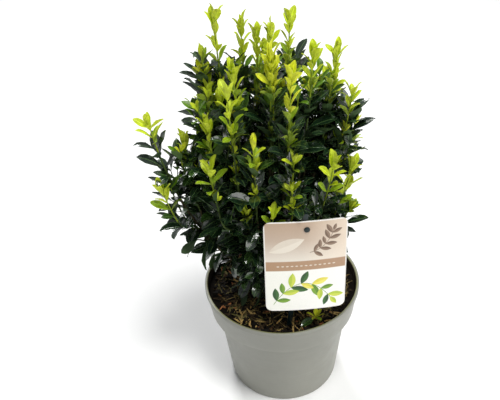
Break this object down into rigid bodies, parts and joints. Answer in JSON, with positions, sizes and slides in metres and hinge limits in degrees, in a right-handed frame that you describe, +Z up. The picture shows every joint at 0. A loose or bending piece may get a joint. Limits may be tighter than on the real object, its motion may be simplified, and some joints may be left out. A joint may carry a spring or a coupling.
{
  "type": "potted japanese spindle",
  "caption": "Potted Japanese spindle shrub: upright leafy shoots with yellow-green tips, in a grey plastic nursery pot of bark mulch, with a picture label on a stick.",
  "frame": {"origin": "the middle of the pot's flat underside, on the surface that the pot stands on", "axes": "+Z is up, along the pot's axis. -Y is the front, where the label hangs, and +X is to the right seen from there."},
  "size_m": [0.2392, 0.2003, 0.487],
  "materials": {
    "pot_plastic": "satin moulded plastic",
    "bark_mulch": "moist bark and peat",
    "woody_stem": "rough bark",
    "foliage": "glossy leaf",
    "young_foliage": "soft young leaf",
    "label_card": "printed coated card",
    "label_stick": "moulded plastic"
  },
  "bodies": {
    "root": {"pot": "pot_plastic", "soil": "bark_mulch", "trunk": "woody_stem", "label_card": "label_card", "label_stick": "label_stick", "limb_left": "woody_stem", "limb_front_left": "woody_stem", "limb_front": "woody_stem", "limb_front_right": "woody_stem", "limb_right": "woody_stem", "limb_back_right": "woody_stem", "limb_back": "woody_stem", "limb_back_left": "woody_stem", "spire_tall_left": "foliage", "spire_tall_middle": "foliage", "spire_tall_right": "foliage", "spire_twin_left": "foliage", "spire_twin_right": "foliage", "spire_bright": "foliage", "spire_long_front": "foliage", "spire_right": "foliage", "spire_outer_right": "foliage", "spire_edge_right": "foliage", "spire_upper_left": "foliage", "spire_front_left": "foliage", "spire_shoulder_left": "foliage", "spire_side_left": "foliage", "spire_front": "foliage", "spire_low_left": "foliage", "spire_far_left": "foliage", "spire_mid_left": "foliage", "spire_outer_left": "foliage", "spire_low_right": "foliage", "spire_side_right": "foliage", "spire_back_left": "foliage", "spire_behind_left": "foliage", "spire_behind_right": "foliage", "spire_back_right": "foliage", "spire_far_right": "foliage", "spire_rear_left": "foliage", "spire_rear_right": "foliage", "spire_back": "foliage", "spire_last": "foliage", "spire_corner_left": "foliage", "spire_corner_right": "foliage", "skirt_left": "foliage", "skirt_front": "foliage", "skirt_right": "foliage", "skirt_back": "foliage", "skirt_back_right": "foliage", "ground_shoot": "young_foliage"}
  },
  "joints": []
}
